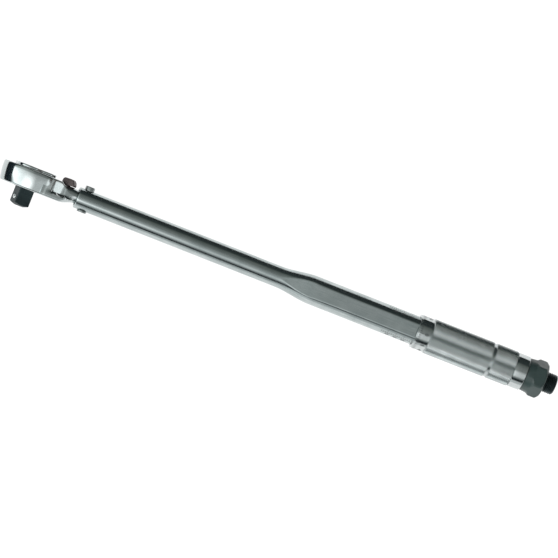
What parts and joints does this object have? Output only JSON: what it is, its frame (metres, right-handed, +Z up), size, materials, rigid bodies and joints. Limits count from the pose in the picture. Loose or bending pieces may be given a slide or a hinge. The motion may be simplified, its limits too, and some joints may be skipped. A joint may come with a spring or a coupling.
{
  "type": "click torque wrench",
  "caption": "Click torque wrench with a half-inch square drive, reversible round ratchet head, chromed tube, knurled micrometer handle and lobed lock nut.",
  "frame": {"origin": "centre of the end face of the square drive", "axes": "+X from the drive axis along the tool to the grip, -Y out of the square drive, +Z up with the tool lying on its side"},
  "size_m": [0.488, 0.0396, 0.048],
  "materials": {
    "head_chrome": "polished chrome plate on forged steel",
    "tube_chrome": "bright chrome plate with fine lengthways brushing",
    "collar_chrome": "polished chrome plate",
    "knurled_chrome": "satin chrome over a fine diamond knurl",
    "ball_steel": "polished bearing steel",
    "black_oxide_steel": "black oxide on steel, slightly oily satin",
    "ground_steel": "ground bright steel",
    "spring_steel": "drawn and oil-tempered spring wire",
    "bronze": "turned bearing bronze",
    "cast_lever": "investment-cast steel, brownish grey",
    "moulded_nut": "satin moulded nylon, dark greenish grey",
    "seal_rubber": "matt black nitrile"
  },
  "bodies": {
    "tube_body": {"tube": "tube_chrome", "pivot_pin": "ground_steel", "pivot_pin_cap": "ground_steel", "adjuster_nut": "bronze", "adjuster_pin_1": "ground_steel", "adjuster_pin_2": "ground_steel"},
    "head": {"head_casing": "head_chrome", "head_cover": "head_chrome", "cover_screw_1": "black_oxide_steel", "cover_screw_2": "black_oxide_steel", "cover_screw_3": "black_oxide_steel", "gear_bush": "bronze", "pawl_pin": "ground_steel"},
    "drive": {"drive_gear": "black_oxide_steel", "detent_spring": "spring_steel"},
    "ball": {"detent_ball": "ball_steel"},
    "pawl_body": {"pawl": "ground_steel"},
    "lever": {"reverse_lever": "cast_lever", "lever_plunger": "ground_steel", "lever_spring": "spring_steel"},
    "block": {"tilt_block": "ground_steel"},
    "plunger_body": {"plunger": "ground_steel"},
    "thrust": {"main_spring": "spring_steel", "spring_seat": "ground_steel", "thrust_ball": "ball_steel"},
    "handle": {"adjusting_screw": "ground_steel", "handle_hub": "ground_steel", "hub_pin": "ground_steel", "handle_sleeve": "knurled_chrome", "sleeve_seal": "seal_rubber", "graduated_collar": "collar_chrome", "collar_screw_1": "black_oxide_steel", "collar_screw_2": "black_oxide_steel", "end_ring": "collar_chrome", "end_stud": "black_oxide_steel"},
    "washer": {"lock_washer": "spring_steel"},
    "nut": {"lock_nut": "moulded_nut"}
  },
  "joints": [
    {"name": "head_pivot", "type": "hinge", "parent": "tube_body", "child": "head", "pos_m": [0.0496, 0.0238, 0], "axis": [0, 1, 0], "range_deg": [0, 2.5], "stiffness_Nm_per_rad": 60, "springref_deg": -1.15},
    {"name": "block_tilt", "type": "hinge", "parent": "head", "child": "block", "pos_m": [0.0883, 0.0238, 0], "axis": [0, 1, 0], "range_deg": [-15.7, 0]},
    {"name": "plunger_slide", "type": "slide", "parent": "tube_body", "child": "plunger_body", "axis": [1, 0, 0], "range_m": [0, 0.0006], "deforming": ["main_spring"]},
    {"name": "drive_spin", "type": "hinge", "parent": "head", "child": "drive", "pos_m": [0, 0.0238, 0], "axis": [0, 1, 0], "continuous": true},
    {"name": "ball_press", "type": "slide", "parent": "drive", "child": "ball", "axis": [0.9627, 0, -0.2706], "range_m": [0, 0.0009], "stiffness_N_per_m": 900, "springref_m": -0.001, "deforming": ["detent_spring"]},
    {"name": "lever_turn", "type": "hinge", "parent": "head", "child": "lever", "pos_m": [0.0304, 0.0238, 0], "axis": [0, 1, 0], "range_deg": [0, 48]},
    {"name": "pawl_rock", "type": "hinge", "parent": "head", "child": "pawl_body", "pos_m": [0.0198, 0.0238, 0], "axis": [0, 1, 0], "range_deg": [-6.1, 0]},
    {"name": "thrust_travel", "type": "slide", "parent": "tube_body", "child": "thrust", "axis": [-1, 0, 0], "range_m": [-0.0018, 0.0246], "deforming": ["main_spring"]},
    {"name": "handle_turn", "type": "hinge", "parent": "thrust", "child": "handle", "pos_m": [0.4089, 0.0238, 0], "axis": [-1, 0, 0], "range_deg": [-360, 5040]},
    {"name": "lock_nut_travel", "type": "slide", "parent": "handle", "child": "washer", "axis": [1, 0, 0], "range_m": [0, 0.00151]},
    {"name": "lock_nut_turn", "type": "hinge", "parent": "washer", "child": "nut", "pos_m": [0.4378, 0.0238, 0], "axis": [1, 0, 0], "range_deg": [0, 360]}
  ],
  "couplings": [
    {"joint": "block_tilt", "follows": "head_pivot", "ratio": -6.2},
    {"joint": "plunger_slide", "follows": "head_pivot", "m_per_rad": 0.01146},
    {"joint": "pawl_rock", "follows": "lever_turn", "ratio": -0.125},
    {"joint": "thrust_travel", "follows": "handle_turn", "m_per_rad": 0.00027852},
    {"joint": "lock_nut_travel", "follows": "lock_nut_turn", "m_per_rad": 0.00023873}
  ]
}
